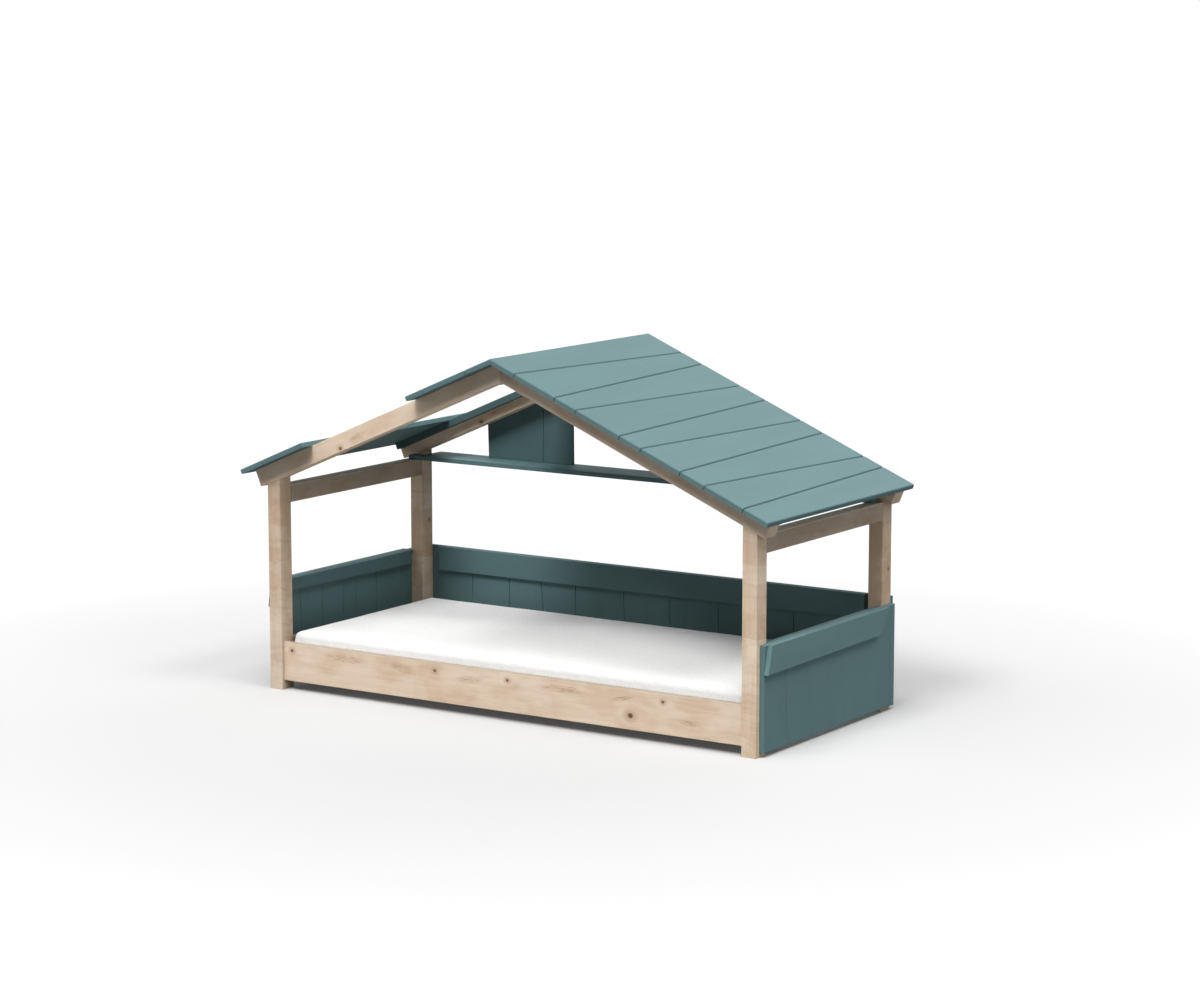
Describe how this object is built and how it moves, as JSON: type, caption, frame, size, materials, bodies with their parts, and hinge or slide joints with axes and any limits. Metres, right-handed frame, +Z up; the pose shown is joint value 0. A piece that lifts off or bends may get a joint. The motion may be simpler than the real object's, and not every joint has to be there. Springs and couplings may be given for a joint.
{
  "type": "house frame bed",
  "caption": "Low single bed in a timber house frame, with board-clad pitched roof, planked back and ends, back shelf and lift-out mattress.",
  "frame": {"origin": "middle of the whole bed's box in plan, at floor level under the posts", "axes": "+X along the bed to the right as seen from the open front, +Y to the back panel, +Z up"},
  "size_m": [2.2836, 1.069, 1.3223],
  "materials": {
    "frame_wood": "satin clear-coated pale solid wood",
    "slat_wood": "planed raw pale wood",
    "dowel_wood": "raw turned hardwood",
    "painted_boards": "matt grey-green painted wood",
    "zinc_fittings": "zinc plated",
    "mattress_cover": "white fitted cover"
  },
  "bodies": {
    "bedstead": {"back_band": "painted_boards", "back_planks": "painted_boards", "back_rail_packer": "slat_wood", "cam_bolts": "zinc_fittings", "cam_housings": "zinc_fittings", "gable_plank_inner": "painted_boards", "gable_plank_outer": "painted_boards", "left_end_planks": "painted_boards", "left_inner_band": "painted_boards", "left_outer_band": "painted_boards", "lower_end_rail_left": "frame_wood", "lower_end_rail_right": "frame_wood", "post_back_left": "frame_wood", "post_back_right": "frame_wood", "post_front_left": "frame_wood", "post_front_right": "frame_wood", "rafter_back_left": "frame_wood", "rafter_back_right": "frame_wood", "rafter_dowels": "dowel_wood", "rafter_front_left": "frame_wood", "rafter_front_right": "frame_wood", "right_end_back_strip": "painted_boards", "right_end_front_plank": "painted_boards", "right_end_wide_board": "painted_boards", "right_inner_band": "painted_boards", "right_outer_band": "painted_boards", "roof_batten_back_left": "painted_boards", "roof_batten_back_right": "painted_boards", "roof_batten_front_left": "painted_boards", "roof_batten_front_right": "painted_boards", "roof_board_left_01": "painted_boards", "roof_board_left_02": "painted_boards", "roof_board_left_03": "painted_boards", "roof_board_left_04": "painted_boards", "roof_board_left_05": "painted_boards", "roof_board_right_01": "painted_boards", "roof_board_right_02": "painted_boards", "roof_board_right_03": "painted_boards", "roof_board_right_04": "painted_boards", "roof_board_right_05": "painted_boards", "roof_board_right_06": "painted_boards", "roof_board_right_07": "painted_boards", "roof_board_right_08": "painted_boards", "roof_board_right_09": "painted_boards", "shelf": "painted_boards", "side_rail_back": "frame_wood", "side_rail_front": "frame_wood", "slat_cleat_back": "slat_wood", "slat_cleat_front": "slat_wood", "slats": "slat_wood", "top_end_rail_left": "frame_wood", "top_end_rail_right": "frame_wood"},
    "mattress": {"mattress": "mattress_cover"}
  },
  "joints": [
    {"name": "mattress_lift", "type": "slide", "parent": "bedstead", "child": "mattress", "axis": [0, 0, 1], "range_m": [0, 0.13]}
  ]
}
